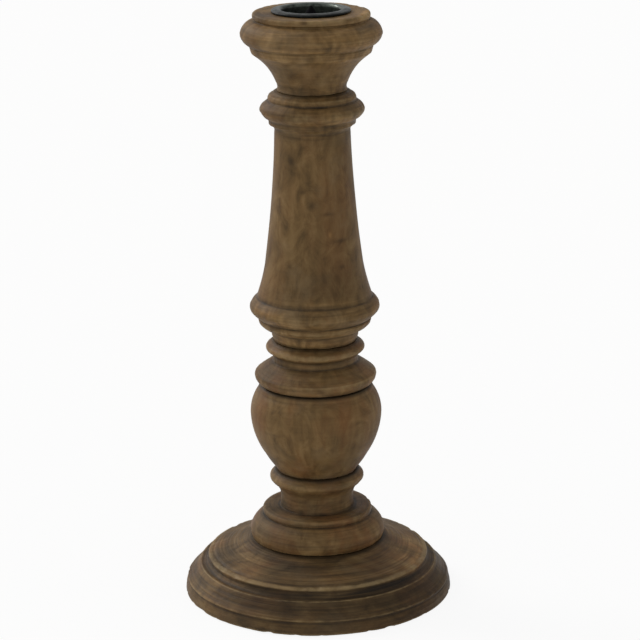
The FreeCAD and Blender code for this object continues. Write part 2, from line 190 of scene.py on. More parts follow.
# How far the turned surface lies under its outline, in mm: everywhere, in slight hollows, in
# rings left by the tool, at most, and in the gap where two pieces meet.
SKIN_DEPTH, HOLLOW_DEPTH, RING_DEPTH, MOST_DEPTH, GAP_DEPTH = 0.12, 0.05, 0.035, 0.9, 0.4
# Distance between the points of a turned outline, in mm.
STEP = 0.1


def srgb(text):
    """Linear colour with alpha 1 from an sRGB hex value, by the sRGB curve."""
    values = [int(text[i:i + 2], 16) / 255 for i in (1, 3, 5)]
    return [v / 12.92 if v <= 0.04045 else ((v + 0.055) / 1.055) ** 2.4 for v in values] + [1.0]


def level(node, end):
    """Lowest (end 0) or highest (end 1) point of a CAD node, in mm."""
    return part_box(node)[end].z / MM


# Shapes


def bowed(points, step):
    """Points along an outline, about a step apart.

    Each stretch from p to q with a bow b is p + (q - p)t + 4b t(1 - t)n, where t runs from 0 to
    1 and n is the stretch's own length, turned a quarter to its right: a flat arc."""
    parts = []
    for (r0, z0, bow), (r1, z1, _) in zip(points, points[1:]):
        count = max(int(math.hypot(r1 - r0, z1 - z0) / step), 1)
        t = np.arange(count) / count
        swell = 4 * bow * t * (1 - t)
        parts.append(np.stack([r0 + (r1 - r0) * t + (z1 - z0) * swell,
                               z0 + (z1 - z0) * t - (r1 - r0) * swell], 1))
    parts.append(np.array([points[-1][:2]], float))
    return np.concatenate(parts)


def blurred(line, sigma, step, pad="edge"):
    """Running mean of a line of points, weighed by a bell curve sigma mm wide."""
    reach = int(4 * sigma / step)
    bell = np.exp(-0.5 * (np.arange(-reach, reach + 1) * step / sigma) ** 2)
    ends = np.pad(line, ((reach, reach), (0, 0)), mode=pad)
    return np.stack([np.convolve(ends[:, k], bell / bell.sum(), "valid") for k in (0, 1)], 1)


def waves(points, length, seed, count=28):
    """Smooth random field: the mean of cosines of k.p + phase, scaled to a spread of about 1.

    The wave vectors k point every way and have about the wavelength given, in mm."""
    rng = np.random.default_rng(seed)
    way = rng.normal(size=(count, 3))
    way *= (2 * np.pi / (length * rng.uniform(0.7, 1.5, count)) / np.linalg.norm(way, axis=1))[:, None]
    return np.cos(points @ way.T + rng.uniform(0, 2 * np.pi, count)).sum(-1) * math.sqrt(2 / count)


def around_axis(line, segments):
    """Grid of points of a line of (radius, height) turned about Z: rows by columns by 3."""
    turn = np.arange(segments) / segments * 2 * np.pi
    height = np.repeat(line[:, 1:], segments, 1)
    return np.stack([line[:, :1] * np.cos(turn), line[:, :1] * np.sin(turn), height], -1)


def grid_mesh(name, points, ring, fields=()):
    """Mesh object from a grid of points in mm, rows by columns by 3.

    The columns always close round the axis. The rows close too when ring is true, and otherwise
    the first and last row are closed with a fan. fields are point attributes by name."""
    rows, columns = points.shape[:2]
    index = np.arange(rows * columns).reshape(rows, columns)
    below = index if ring else index[:-1]
    above = np.roll(index, -1, 0) if ring else index[1:]
    quads = np.stack([below, np.roll(below, -1, 1), np.roll(above, -1, 1), above], -1).reshape(-1, 4)
    places, faces, sizes = points.reshape(-1, 3), quads.ravel(), np.full(len(quads), 4)
    if not ring:
        first, last = index[0], index[-1]
        low = np.stack([np.roll(first, -1), first, np.full(columns, rows * columns)], 1)
        high = np.stack([last, np.roll(last, -1), np.full(columns, rows * columns + 1)], 1)
        places = np.concatenate([places, [points[0].mean(0), points[-1].mean(0)]])
        faces = np.concatenate([faces, low.ravel(), high.ravel()])
        sizes = np.concatenate([sizes, np.full(2 * columns, 3)])
    mesh = bpy.data.meshes.new(name)
    mesh.vertices.add(len(places))
    mesh.vertices.foreach_set("co", (places * MM).astype(np.float32).ravel())
    mesh.loops.add(len(faces))
    mesh.loops.foreach_set("vertex_index", faces.astype(np.int32))
    mesh.polygons.add(len(sizes))
    mesh.polygons.foreach_set("loop_start", (np.cumsum(sizes) - sizes).astype(np.int32))
    mesh.polygons.foreach_set("use_smooth", np.ones(len(sizes), bool))
    mesh.update(calc_edges=True)
    mesh.validate()
    for field, values in dict(fields).items():
        kind, socket = ("FLOAT_VECTOR", "vector") if values.ndim == 3 else ("FLOAT", "value")
        layer = mesh.attributes.new(field, kind, "POINT")
        layer.data.foreach_set(socket, values.astype(np.float32).ravel())
    piece = bpy.data.objects.new(name, mesh)
    bpy.context.scene.collection.objects.link(piece)
    return piece


def bell(line, place, size):
    """Closeness of each point of a line to a place: exp(-distance squared / size squared)."""
    return np.exp(-((line - place) ** 2).sum(1) / size ** 2)


def hidden_ends(node, seat, outline):
    """Hidden points under and over an outline, from the CAD: the foot's underside or a spigot
    below, and a socket or the cap's recess for the cup above."""
    before = SPIGOT_POINTS if node != "foot" else FOOT_BELOW
    end_r, end_z = outline[-1][:2]
    if node == "cap":
        floor = level("drip_cup", 0) - seat
        return before, ((end_r, floor), (BORE_R, floor))
    bottom = level(node, 1) - seat - SOCKET
    return before, ((SOCKET_R, end_z), (SOCKET_R, bottom), (BORE_R, bottom))


def bent_rows(way, count):
    """Numbers of the points that become rows: evenly spaced in 1 + 5 times the bend, summed
    along the line, so that most rows lie where its direction turns fastest."""
    bend = np.linalg.norm(np.gradient(way, axis=0), axis=1) / STEP
    cost = np.cumsum(1 + 5 * np.clip(np.convolve(bend, np.ones(9) / 9, "same"), 0, 1.2))
    rows = np.unique(np.searchsorted(cost, np.linspace(cost[0], cost[-1], count)))
    return np.clip(rows, 0, len(way) - 1)


def rubbed_waxed_and_shaded(node, line, worn, normal):
    """How rubbed each point of an outline is, how much dark wax and painted shade it holds, and how
    far it bulges, in mm.

    A point's bulge is (p - q) . n, with its place p, its normal n, and its place q on the
    outline smoothed over 1, 2 or 7 mm. What stands out is rubbed and what lies in holds dark wax
    and painted shade, in proportion up to a limit, and each mark adds its bell to the one and takes
    it from the other."""
    fine, middle, broad = (((worn - blurred(line, size, STEP)) * normal).sum(1)
                           for size in (1.0, 2.0, 7.0))
    edge = np.clip(fine / 0.25, 0, 1) * 0.4 + np.clip(middle / 0.6, 0, 1) * 0.6
    groove = np.clip(-fine / 0.22, 0, 1) * 0.45 + np.clip(-middle / 0.5, 0, 1) * 0.55
    for r, z, size, amount in MARKS.get(node, ()):
        mark = amount * bell(line, (r, z), size)
        edge = np.clip(edge + mark, 0, 1)
        groove = np.clip(groove - mark, 0, 1)
    return edge, groove, broad


def foot_painted_shade(points, hollows):
    """Share of the foot's tone that painted shade and a painted sheen leave.

    With x, y and z in foot radii, it is a product of straight slopes held between limits: painted
    shade, darker on the rim's side, in front and on the right, round the plinth, towards the floor
    and at the back, and a painted sheen, lighter on the right of the field."""
    x, y, z = (points[..., k] / FOOT_R for k in range(3))
    side = np.clip((0.33 - z) / 0.08, 0, 1)
    front = np.clip(0.5 + (0.12 + 0.33 * side) * x - 0.55 * y + 0.2 * hollows, 0, 1)
    inner = np.clip(1.6 - 1.7 * np.hypot(x, y), 0, 0.6) * front
    low, rear = np.clip(1 - z / 0.06, 0, 1), np.clip(y / 0.5, 0, 1)
    right = (1 - side) * np.clip(x, 0, 1) * np.clip(1 - abs(y) / 0.5, 0, 1)
    shade = 1 - side * (0.08 + 0.22 * front) - 0.24 * front - 0.3 * inner
    return shade * (1 - 0.22 * low - 0.14 * rear) * (1 + 0.34 * right)


def turned_piece(number, wood):
    """Surface of revolution of one wooden piece, a closed shell with its spigot and socket.

    The outline is drawn with its bows, its corners are worn round by a running mean, and rows
    are spent where it bends most. A point of the profile at (r, z) becomes (r' cos a, r' sin a,
    z') for the turn a, where r' and z' are r and z less a small random depth along the normal:
    out of round, slight hollows, rings left by the tool, chips on the edges, and a fine gap
    where two pieces meet."""
    node, outline, _, light, _, dark_over, moved_over = TURNED[number]
    # There is no line under the foot: it takes the cap's, which is 0.
    dark_under, moved_under = TURNED[number - 1][5:]
    seat = level(node, 0) + (SPIGOT if node != "foot" else 0)
    before, after = hidden_ends(node, seat, outline)
    line = bowed(((*before[-1], 0.0), *outline, (*after[0], 0.0)), STEP)
    worn = blurred(line, wood.wear, STEP)
    way = np.gradient(worn, axis=0)
    way /= np.maximum(np.linalg.norm(way, axis=1), 1e-9)[:, None]
    normal = np.stack([way[:, 1], -way[:, 0]], 1)
    pick = bent_rows(way, wood.rows)

    edge, groove, broad = rubbed_waxed_and_shaded(node, line, worn, normal)
    # Tool rings are plain on the mouldings and nearly sanded away on long smooth stretches. The
    # foot was never sanded.
    tooled = blurred(np.stack([edge + groove, edge], 1), 5.0, STEP)[:, 0]
    tooled = np.clip(tooled * 3.0, 0.0, 1.0) if node != "foot" else np.full(len(line), 1.4)
    # The dark line where two pieces meet is a dark joint with painted shade, and lies mostly on the lower
    # piece, under the upper one.
    above_r = TURNED[number + 1][1][0][0] if node != "cap" else CUP_FLANGE_R
    seam = (dark_over * bell(line, (above_r + moved_over, outline[-1][1]), wood.seam)
            + dark_under * bell(line, (outline[0][0], -moved_under), wood.seam))
    seam = np.clip(seam, 0, 1)
    along = np.arange(len(line)) * STEP

    hidden = (len(before) - 1, len(after) - 1)
    profile = np.concatenate([np.array(before[:-1], float), worn[pick], np.array(after[1:], float)])
    points = around_axis(profile, wood.segments)
    points[..., 2] += seat
    shape = points.shape[:2]

    def spread(values):
        """Profile values on every column of the grid, 0 on the hidden rows."""
        return np.repeat(np.pad(values[pick], hidden)[:, None], wood.segments, 1)

    # Hollows about 34 mm across, nicks 4 mm and chips 9 mm, and tool rings about 3 mm apart.
    flat = points.reshape(-1, 3)
    seed = 11 + 7 * number
    hollows, nicks, chips = (waves(flat, size, seed + k).reshape(shape)
                             for k, size in enumerate((34.0, 4.2, 9.0)))
    rings = np.sin(along * 2.2 + 2.2 * np.sin(along * 0.37)) + 0.6 * np.sin(along * 0.9 + number)
    chip = spread(edge) * (np.clip(chips - 0.75, 0, 1.2) * 0.5 + np.clip(nicks - 0.9, 0, 1.5) * 0.16)
    depth = SKIN_DEPTH + HOLLOW_DEPTH * hollows + RING_DEPTH * spread(rings * tooled) + chip
    gap = spread(seam ** 2)
    depth = np.clip(depth, 0.0, MOST_DEPTH) * (1 - gap) + GAP_DEPTH * gap
    # The socket's mouth stays as it is.
    depth *= spread((line[:, 0] > SOCKET_R + 1).astype(float))
    aside = around_axis(np.pad(normal[pick], (hidden, (0, 0))), wood.segments)
    points -= aside * depth[..., None]
    # The tool's own space: 3 mm about an axis, and the distance along the outline.
    lathe = around_axis(np.stack([np.full(len(line), 3.0), along], 1)[pick], wood.segments)
    lathe = np.pad(lathe, (hidden, (0, 0), (0, 0)), mode="edge")
    # What stands out over 7 mm is lighter and what lies in is darker, and the wax is thicker in
    # broad uneven streaks round the piece.
    tone = light * (0.85 + spread(0.15 + 0.13 * np.clip(broad / 2.5, -1, 1)))
    smears = waves(lathe.reshape(-1, 3) * (2.6, 2.6, 1.0), 7.0, seed + 9).reshape(shape)
    tone *= 1 + 0.11 * spread(tooled) * np.clip(smears, -1.5, 1.2)
    # A lighter patch also has less wax in its grooves, and a darker one is less rubbed. Patches,
    # partly painted shade and highlights, fade out over 12 mm where the piece turns away from the viewer.
    wax, rubbed = spread(groove), spread(edge)
    facing = np.clip(0.5 - points[..., 1] / 12, 0, 1)
    for x, z, wide, high, amount in STAIN_AND_PAINTED_LIGHT_PATCHES[node]:
        off = ((points[..., 0] - x) / wide) ** 2 + ((points[..., 2] - seat - z) / high) ** 2
        share = amount * np.exp(-off) * facing
        tone *= 1 + share
        wax *= 1 - 1.2 * np.clip(share, 0, 1)
        rubbed *= 1 + 1.6 * np.clip(share, -0.6, 0)
    # The foot takes painted shade in front, round the plinth and towards the floor, and a painted sheen on
    # the right of its field.
    if node == "foot":
        tone *= foot_painted_shade(points, hollows)
    fields = {"edge": rubbed, "groove": wax, "seam": spread(seam),
              "tooled": spread(tooled), "tone": tone, "lathe": lathe}
    return grid_mesh(f"{node}_wood", points, True, fields)


# Materials


def add(tree, kind, settings=None, inputs=None):
    """Adds a node. settings are its properties, with a ramp's stops among them, and inputs are
    its sockets by name or number: a value, a node whose first output is linked, or an output."""
    new = tree.nodes.new(kind)
    for key, value in (settings or {}).items():
        if key == "stops":
            while len(new.color_ramp.elements) < len(value):
                new.color_ramp.elements.new(0.5)
            for stop, (place, colour) in zip(new.color_ramp.elements, value):
                stop.position = place
                stop.color = colour if hasattr(colour, "__len__") else (colour, colour, colour, 1.0)
        else:
            setattr(new, key, value)
    for key, value in (inputs or {}).items():
        if isinstance(value, bpy.types.Node):
            tree.links.new(value.outputs[0], new.inputs[key])
        elif isinstance(value, bpy.types.NodeSocket):
            tree.links.new(value, new.inputs[key])
        else:
            new.inputs[key].default_value = value
    return new


def cells(size):
    """Scale of a noise texture with cells this many mm across: 1 / the size in metres."""
    return 1 / (size * MM)


def bands(period):
    """Scale of a wave texture with bands this many mm apart: 2 pi / (20 times it in metres)."""
    return 2 * math.pi / (20 * period * MM)


def blank_material(name, shade):
    """New material with only its output and shader, and the shader's plain values."""
    material = bpy.data.materials.new(name)
    material.use_nodes = True
    tree = material.node_tree
    tree.nodes.clear()
    shader = add(tree, "ShaderNodeBsdfPrincipled", inputs=shade)
    add(tree, "ShaderNodeOutputMaterial", inputs={"Surface": shader})
    return material, tree, shader


def waxed_wood(node, pith, redness, wood):
    """Stained hardwood, turned, then rubbed with dark wax.

    To the eye it is a dull olive brown with soft curled figure, streaks that run round the
    piece where the tool cut it, dark wax and painted shade in the grooves and seams, and pale
    rubbed edges."""
    material, tree, shader = blank_material(f"Waxed hardwood, {node}", {
        "Specular IOR Level": 0.22,
        "IOR": 1.45,
    })
    place = add(tree, "ShaderNodeTexCoord").outputs["Object"]
    edge, groove, seam, tooled, light = (
        add(tree, "ShaderNodeAttribute", {"attribute_name": name}).outputs["Fac"]
        for name in ("edge", "groove", "seam", "tooled", "tone"))
    lathe = add(tree, "ShaderNodeAttribute", {"attribute_name": "lathe"}).outputs["Vector"]
    # The foot is cut from a plank, so its grain runs along X. The others are turned along the
    # grain, each with its pattern at another angle.
    turn = (0.0, math.radians(90), math.radians(24)) if node == "foot" else (0.0, 0.0, 0.7 * pith[0])
    board = add(tree, "ShaderNodeMapping", {"vector_type": "POINT"}, {
        "Vector": place, "Location": [v * MM for v in pith], "Rotation": turn})
    # Figure is about 3 times longer along the grain than across it.
    figure_space = add(tree, "ShaderNodeMapping", None, {"Vector": board, "Scale": (1.0, 1.0, 0.33)})

    # Growth rings 6 mm apart, bent by up to 9 mm into flames.
    wander = add(tree, "ShaderNodeTexNoise", None, {
        "Vector": figure_space, "Scale": cells(26), "Detail": 3.0, "Roughness": 0.55})
    wander_size = add(tree, "ShaderNodeVectorMath", {"operation": "SCALE"}, {
        0: wander.outputs["Color"], "Scale": 18 * MM})
    bent = add(tree, "ShaderNodeVectorMath", {"operation": "ADD"}, {0: figure_space, 1: wander_size})
    growth = add(tree, "ShaderNodeTexWave", {"wave_type": "RINGS", "rings_direction": "Z"}, {
        "Vector": bent, "Scale": bands(6), "Distortion": 2.5, "Detail": 3.0,
        "Detail Scale": 1.4, "Detail Roughness": 0.6})
    # Soft mottled patches 8 to 16 mm across.
    mottle = add(tree, "ShaderNodeTexNoise", None, {
        "Vector": add(tree, "ShaderNodeMapping", None, {"Vector": board, "Scale": (1.0, 1.0, 0.6)}),
        "Scale": cells(13), "Detail": 5.0, "Roughness": 0.6, "Distortion": 1.2})
    # Burr figure: curled dark lines about 1 mm wide where an 11 mm noise crosses its middle.
    burr = add(tree, "ShaderNodeTexNoise", None, {
        "Vector": board, "Scale": cells(11), "Detail": 2.5, "Roughness": 0.5, "Distortion": 2.6})
    curl = add(tree, "ShaderNodeValToRGB", {"stops": (
        (0.40, 0.0), (0.46, 0.55), (0.50, 1.0), (0.55, 0.30), (0.62, 0.0))}, {"Fac": burr})
    # The burr shows in places about 30 mm across.
    burr_places = add(tree, "ShaderNodeTexNoise", None, {
        "Vector": board, "Scale": cells(34), "Detail": 2.0, "Roughness": 0.5})
    burr_share = add(tree, "ShaderNodeMapRange", {"interpolation_type": "SMOOTHSTEP"}, {
        "Value": burr_places, "From Min": 0.42, "From Max": 0.62})
    curls = add(tree, "ShaderNodeMath", {"operation": "MULTIPLY"}, {0: curl, 1: burr_share})
    # Fibres, drawn about 1 mm wide because real ones would be too fine to show, and 8 times as long.
    fibres = add(tree, "ShaderNodeTexNoise", None, {
        "Vector": add(tree, "ShaderNodeMapping", None, {"Vector": board, "Scale": (1.0, 1.0, 0.12)}),
        "Scale": cells(1.2), "Detail": 3.0, "Roughness": 0.7})
    # Streaks left by the turning tool, about 2 mm high and a tenth of the turn long.
    streaks = add(tree, "ShaderNodeTexNoise", None, {
        "Vector": lathe, "Scale": 0.55, "Detail": 4.0, "Roughness": 0.6, "Distortion": 0.25})
    streak_depth = add(tree, "ShaderNodeMath", {"operation": "MULTIPLY"}, {
        0: tooled, 1: wood.streaks})

    # The stain takes the tone of figure: rings, patches and curls added up.
    figure_rings = add(tree, "ShaderNodeMath", {"operation": "MULTIPLY_ADD"}, {
        0: growth, 1: 0.07, 2: mottle})
    figure = add(tree, "ShaderNodeMath", {"operation": "MULTIPLY_ADD"}, {
        0: curls, 1: 0.035, 2: figure_rings})
    stain = add(tree, "ShaderNodeValToRGB", {"stops": (
        (0.34, list(wood.light)), (0.54, list(wood.middle)), (0.80, list(wood.dark)))}, {"Fac": figure})
    # Broad red-brown places where the wood took more stain.
    red = add(tree, "ShaderNodeTexNoise", None, {
        "Vector": figure_space, "Scale": cells(24), "Detail": 4.0, "Roughness": 0.6})
    red_share = add(tree, "ShaderNodeMapRange", {"interpolation_type": "SMOOTHSTEP"}, {
        "Value": red, "From Min": 0.42, "From Max": 0.66, "To Max": redness})
    body = add(tree, "ShaderNodeMix", {"data_type": "RGBA"}, {
        0: red_share, 6: stain, 7: list(wood.red)})
    # Dry grey places where the wax has gone.
    dry = add(tree, "ShaderNodeTexNoise", None, {
        "Vector": add(tree, "ShaderNodeMapping", None, {"Vector": place, "Location": (0.31, 0.17, 0.05)}),
        "Scale": cells(30), "Detail": 5.0, "Roughness": 0.65})
    dry_share = add(tree, "ShaderNodeMapRange", {"interpolation_type": "SMOOTHSTEP"}, {
        "Value": dry, "From Min": 0.46, "From Max": 0.72, "To Max": 0.45})
    dried = add(tree, "ShaderNodeMix", {"data_type": "RGBA"}, {
        0: dry_share, 6: body.outputs[2], 7: list(wood.dry)})

    fibre_tone = add(tree, "ShaderNodeMapRange", None, {
        "Value": fibres, "From Min": 0.3, "From Max": 0.7, "To Min": 0.97, "To Max": 1.03})
    streak_tone = add(tree, "ShaderNodeMapRange", None, {
        "Value": streaks, "From Min": 0.32, "From Max": 0.68, "To Min": -0.30, "To Max": 0.26})
    streak_part = add(tree, "ShaderNodeMath", {"operation": "MULTIPLY_ADD"}, {
        0: streak_tone, 1: streak_depth, 2: 1.0})
    tone = add(tree, "ShaderNodeMath", {"operation": "MULTIPLY"}, {
        0: light, 1: add(tree, "ShaderNodeMath", {"operation": "MULTIPLY"}, {
            0: fibre_tone, 1: streak_part})})
    toned = add(tree, "ShaderNodeVectorMath", {"operation": "SCALE"}, {
        0: dried.outputs[2], "Scale": tone.outputs[0]})

    # Rubbed edges: pale where the outline turns outward, broken up by a 6 mm noise.
    rub_noise = add(tree, "ShaderNodeTexNoise", None, {
        "Vector": place, "Scale": cells(6), "Detail": 5.0, "Roughness": 0.65})
    rub_sum = add(tree, "ShaderNodeMath", {"operation": "MULTIPLY_ADD"}, {
        0: rub_noise, 1: 1.1, 2: add(tree, "ShaderNodeMath", {"operation": "ADD"}, {0: edge, 1: -0.90})})
    rub = add(tree, "ShaderNodeMapRange", {"interpolation_type": "SMOOTHSTEP"}, {
        "Value": rub_sum, "From Min": 0.0, "From Max": 0.9, "To Max": wood.rub})
    rub_edge = add(tree, "ShaderNodeMath", {"operation": "MULTIPLY", "use_clamp": True}, {
        0: rub, 1: add(tree, "ShaderNodeMath", {"operation": "MULTIPLY", "use_clamp": True}, {
            0: edge, 1: 2.0})})
    bare = add(tree, "ShaderNodeMix", {"data_type": "RGBA"}, {
        0: red_share, 6: list(wood.rubbed), 7: list(wood.red)})
    rubbed = add(tree, "ShaderNodeMix", {"data_type": "RGBA"}, {
        0: rub_edge, 6: toned, 7: bare.outputs[2]})
    # Dark wax and painted shade in the grooves, and the dark line where two pieces meet, a dark
    # joint with painted shade.
    wax_level = add(tree, "ShaderNodeMapRange", None, {
        "Value": streaks, "From Min": 0.3, "From Max": 0.7, "To Min": 1.3 * wood.wax,
        "To Max": 0.4 * wood.wax})
    wax = add(tree, "ShaderNodeMath", {"operation": "MULTIPLY", "use_clamp": True}, {
        0: groove, 1: wax_level})
    dark = add(tree, "ShaderNodeMath", {"operation": "MAXIMUM", "use_clamp": True}, {0: wax, 1: seam})
    waxed_and_shaded = add(tree, "ShaderNodeMix", {"data_type": "RGBA"}, {
        0: dark, 6: rubbed.outputs[2], 7: list(wood.wax_and_shade_colour)})
    tree.links.new(waxed_and_shaded.outputs[2], shader.inputs["Base Color"])

    rough = add(tree, "ShaderNodeMapRange", None, {
        "Value": dry, "From Min": 0.3, "From Max": 0.7,
        "To Min": wood.roughness - 0.08, "To Max": wood.roughness + 0.10})
    tree.links.new(rough.outputs[0], shader.inputs["Roughness"])
    # The tool's streaks are about 0.1 mm deep, the mottling a little less, and the fibres least.
    relief = add(tree, "ShaderNodeMath", {"operation": "MULTIPLY_ADD"}, {
        0: add(tree, "ShaderNodeMath", {"operation": "MULTIPLY"}, {0: streaks, 1: streak_depth}), 1: 1.6,
        2: add(tree, "ShaderNodeMath", {"operation": "MULTIPLY_ADD"}, {
            0: fibres, 1: 0.3, 2: add(tree, "ShaderNodeMath", {"operation": "MULTIPLY_ADD"}, {
                0: curls, 1: -0.2, 2: mottle})})})
    bump = add(tree, "ShaderNodeBump", None, {
        "Height": relief, "Strength": 0.7, "Distance": 0.3 * MM})
    tree.links.new(bump.outputs[0], shader.inputs["Normal"])
    return material


def tarnished_cup_metal(metal):
    """Pressed sheet steel, once plated, now tarnished grey-green.

    To the eye it is dull and nearly black, with a soft broad highlight and cloudy spots. A painted
    highlight makes a paler line on the flange's crest, and painted shade with some grime darkens the
    rolled edge, the front of the flange and the inside low down."""
    material, tree, shader = blank_material("Tarnished pressed steel", {"Metallic": 0.85})
    place = add(tree, "ShaderNodeTexCoord").outputs["Object"]
    # Clouds of tarnish about 6 mm across.
    clouds = add(tree, "ShaderNodeTexNoise", None, {
        "Vector": place, "Scale": cells(6), "Detail": 5.0, "Roughness": 0.65, "Distortion": 0.6})
    colour = add(tree, "ShaderNodeValToRGB", {"stops": (
        (0.30, list(metal.tarnish)), (0.62, list(metal.cup)), (0.80, list(metal.bright)))}, {"Fac": clouds})
    # The flange's crest takes a painted highlight, and the rest takes painted shade with some grime, as the
    # attributes say.
    crest = add(tree, "ShaderNodeAttribute", {"attribute_name": "crest"})
    worn = add(tree, "ShaderNodeMix", {"data_type": "RGBA"}, {
        0: crest.outputs["Fac"], 6: colour, 7: list(metal.bright)})
    grime = add(tree, "ShaderNodeAttribute", {"attribute_name": "grime"})
    grimed_and_shaded = add(tree, "ShaderNodeMix", {"data_type": "RGBA"}, {
        0: grime.outputs["Fac"], 6: worn.outputs[2], 7: list(metal.soot_and_shade)})
    tree.links.new(grimed_and_shaded.outputs[2], shader.inputs["Base Color"])
    rough = add(tree, "ShaderNodeMapRange", None, {
        "Value": clouds, "From Min": 0.3, "From Max": 0.7, "To Min": 0.50, "To Max": 0.28})
    tree.links.new(rough.outputs[0], shader.inputs["Roughness"])
    bump = add(tree, "ShaderNodeBump", None, {"Height": clouds, "Strength": 0.5, "Distance": 0.15 * MM})
    tree.links.new(bump.outputs[0], shader.inputs["Normal"])
    return material


def dark_spike_steel(metal):
    """Turned bare steel, blackened by candle flame.

    To the eye it is nearly black, with fine turning rings that catch a thin highlight."""
    material, tree, shader = blank_material("Flame-darkened steel", {
        "Metallic": 0.15, "Roughness": 0.85, "Specular IOR Level": 0.05})
    place = add(tree, "ShaderNodeTexCoord").outputs["Object"]
    soot_and_shade = add(tree, "ShaderNodeTexNoise", None, {
        "Vector": place, "Scale": cells(3), "Detail": 4.0, "Roughness": 0.6})
    colour = add(tree, "ShaderNodeValToRGB", {"stops": (
        (0.35, list(metal.soot_and_shade)), (0.70, list(metal.spike)))}, {"Fac": soot_and_shade})
    tree.links.new(colour.outputs[0], shader.inputs["Base Color"])
    # Turning rings 0.4 mm apart.
    rings = add(tree, "ShaderNodeTexWave", {"wave_type": "BANDS", "bands_direction": "Z"}, {
        "Vector": place, "Scale": bands(0.4), "Distortion": 0.4})
    bump = add(tree, "ShaderNodeBump", None, {"Height": rings, "Strength": 0.25, "Distance": 0.03 * MM})
    tree.links.new(bump.outputs[0], shader.inputs["Normal"])
    return material


def zinc_plate(metal, threaded):
    """Steel hardware with dull zinc plate.

    To the eye it is a flat pale grey with a faint cloudy bloom. The rod's thread is drawn as
    relief: a ridge every millimetre that climbs as it goes round."""
    name = "Zinc-plated threaded steel" if threaded else "Zinc-plated steel"
    material, tree, shader = blank_material(name, {"Metallic": 0.9})
    place = add(tree, "ShaderNodeTexCoord").outputs["Object"]
    bloom = add(tree, "ShaderNodeTexNoise", None, {
        "Vector": place, "Scale": cells(4), "Detail": 4.0, "Roughness": 0.6})
    colour = add(tree, "ShaderNodeValToRGB", {"stops": (
        (0.35, list(metal.zinc_dull)), (0.70, list(metal.zinc)))}, {"Fac": bloom})
    tree.links.new(colour.outputs[0], shader.inputs["Base Color"])
    rough = add(tree, "ShaderNodeMapRange", None, {
        "Value": bloom, "From Min": 0.3, "From Max": 0.7, "To Min": 0.50, "To Max": 0.34})
    tree.links.new(rough.outputs[0], shader.inputs["Roughness"])
    if threaded:
        split = add(tree, "ShaderNodeSeparateXYZ", None, {"Vector": place})
        turn = add(tree, "ShaderNodeMath", {"operation": "ARCTAN2"}, {
            0: split.outputs[1], 1: split.outputs[0]})
        climb = add(tree, "ShaderNodeMath", {"operation": "MULTIPLY_ADD"}, {
            0: split.outputs[2], 1: 1 / MM, 2: add(tree, "ShaderNodeMath", {"operation": "MULTIPLY"}, {
                0: turn, 1: -0.5 / math.pi})})
        ridge = add(tree, "ShaderNodeMath", {"operation": "PINGPONG"}, {0: climb, 1: 0.5})
        bump = add(tree, "ShaderNodeBump", None, {"Height": ridge, "Strength": 1.0, "Distance": 1.2 * MM})
        tree.links.new(bump.outputs[0], shader.inputs["Normal"])
    return material


def pressed_felt(metal):
    """Dense pressed wool felt, cut with a punch.

    To the eye it is soft, matt and nearly black, with short matted hairs and no weave."""
    material, tree, shader = blank_material("Pressed wool felt", {
        "Roughness": 0.95, "Specular IOR Level": 0.2, "Sheen Weight": 0.25, "Sheen Roughness": 0.6})
    place = add(tree, "ShaderNodeTexCoord").outputs["Object"]
    # Matted hairs, drawn about 0.8 mm across because real ones would be too fine to show.
    hairs = add(tree, "ShaderNodeTexNoise", None, {
        "Vector": place, "Scale": cells(0.8), "Detail": 6.0, "Roughness": 0.75, "Distortion": 2.0})
    colour = add(tree, "ShaderNodeValToRGB", {"stops": (
        (0.35, list(metal.felt_deep)), (0.70, list(metal.felt)))}, {"Fac": hairs})
    tree.links.new(colour.outputs[0], shader.inputs["Base Color"])
    bump = add(tree, "ShaderNodeBump", None, {"Height": hairs, "Strength": 0.8, "Distance": 0.3 * MM})
    tree.links.new(bump.outputs[0], shader.inputs["Normal"])
    return material


def colour_prop(name, description, text):
    """Colour property whose default is given as an sRGB hex value."""
    return FloatVectorProperty(name=name, description=description, subtype="COLOR", size=4,
                               min=0.0, max=1.0, default=srgb(text))


class StandWood(bpy.types.PropertyGroup):
    """Colours, wear and fineness of the turned wood"""
    light: colour_prop("Light wood", "Stained wood between the figure", "#7E643F")
    middle: colour_prop("Middle wood", "Common tone of the stained wood", "#6C5331")
    dark: colour_prop("Dark wood", "Deepest tone of the figure", "#4B391F")
    red: colour_prop("Red wood", "Places that took a red-brown stain", "#6E4726")
    dry: colour_prop("Dry wood", "Grey places where the wax has gone", "#7C684C")
    rubbed: colour_prop("Rubbed edge", "Pale wood on worn edges", "#9E875F")
    # Dark wax and painted shade in grooves and seams take this colour.
    wax_and_shade_colour: colour_prop("Dark wax", "Wax and dirt in grooves and seams", "#15110D")
    rub: FloatProperty(name="Edge rub", description="How far the edges are rubbed pale",
                       default=0.6, min=0.0, max=1.0, subtype="FACTOR")
    # The dark wax in the grooves is partly painted shade.
    wax: FloatProperty(name="Groove wax", description="How much dark wax lies in the grooves",
                       default=0.68, min=0.0, max=1.0, subtype="FACTOR")
    streaks: FloatProperty(name="Tool streaks", description="How plain the marks of turning are",
                           default=0.8, min=0.0, max=1.5)
    roughness: FloatProperty(name="Roughness", description="Roughness of the waxed surface",
                             default=0.58, min=0.1, max=1.0, subtype="FACTOR")
    wear: FloatProperty(name="Edge wear", description="Radius that use has worn on the edges, in mm",
                        default=0.38, min=0.1, max=1.5)
    seam: FloatProperty(name="Seam width", description="Half width of the dark line at a joint, in mm",
                        default=2.3, min=0.3, max=4.0)
    segments: IntProperty(name="Segments", description="Columns round each turned piece",
                          default=300, min=48, max=400)
    rows: IntProperty(name="Rows", description="Rows along each visible outline",
                      default=310, min=60, max=330)


